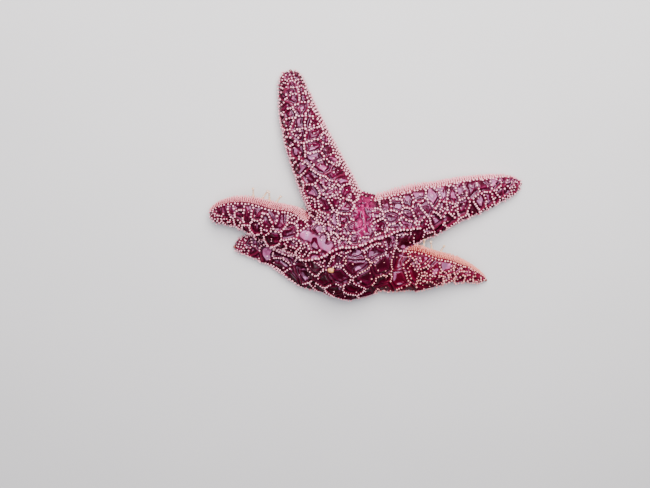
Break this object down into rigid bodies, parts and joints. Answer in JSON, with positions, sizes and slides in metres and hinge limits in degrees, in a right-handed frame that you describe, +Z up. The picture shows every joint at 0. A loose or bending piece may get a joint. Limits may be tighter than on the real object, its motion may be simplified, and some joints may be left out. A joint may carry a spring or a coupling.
{
  "type": "ochre sea star",
  "caption": "Life-size still model of an ochre sea star: a domed disc and tapering arms under nets of pearly spines, two arms with one edge raised.",
  "frame": {"origin": "centre of the mouth, on the level that the underside rests on", "axes": "+Z up out of the star's back, +X towards the right-hand arm, +Y towards the uppermost arm"},
  "size_m": [0.2287, 0.1716, 0.037],
  "materials": {
    "skin": "wet, soft skin of deep magenta to maroon over a net of low ridges",
    "spines": "wet, chalky white to pale pink rounded spines in chains",
    "tube_feet": "wet, translucent cream with pale sucker ends",
    "madreporite": "chalky pale orange, finely grooved",
    "mouth": "wet pinkish membrane",
    "eyespot": "wet orange-red"
  },
  "bodies": {
    "root": {"disc": "skin", "arm_upper": "skin", "arm_right": "skin", "arm_left": "skin", "arm_lower_right": "skin", "arm_lower_left": "skin", "eyespot_upper": "eyespot", "eyespot_right": "eyespot", "eyespot_left": "eyespot", "eyespot_lower_right": "eyespot", "eyespot_lower_left": "eyespot", "madreporite": "madreporite", "mouth": "mouth"}
  },
  "joints": []
}
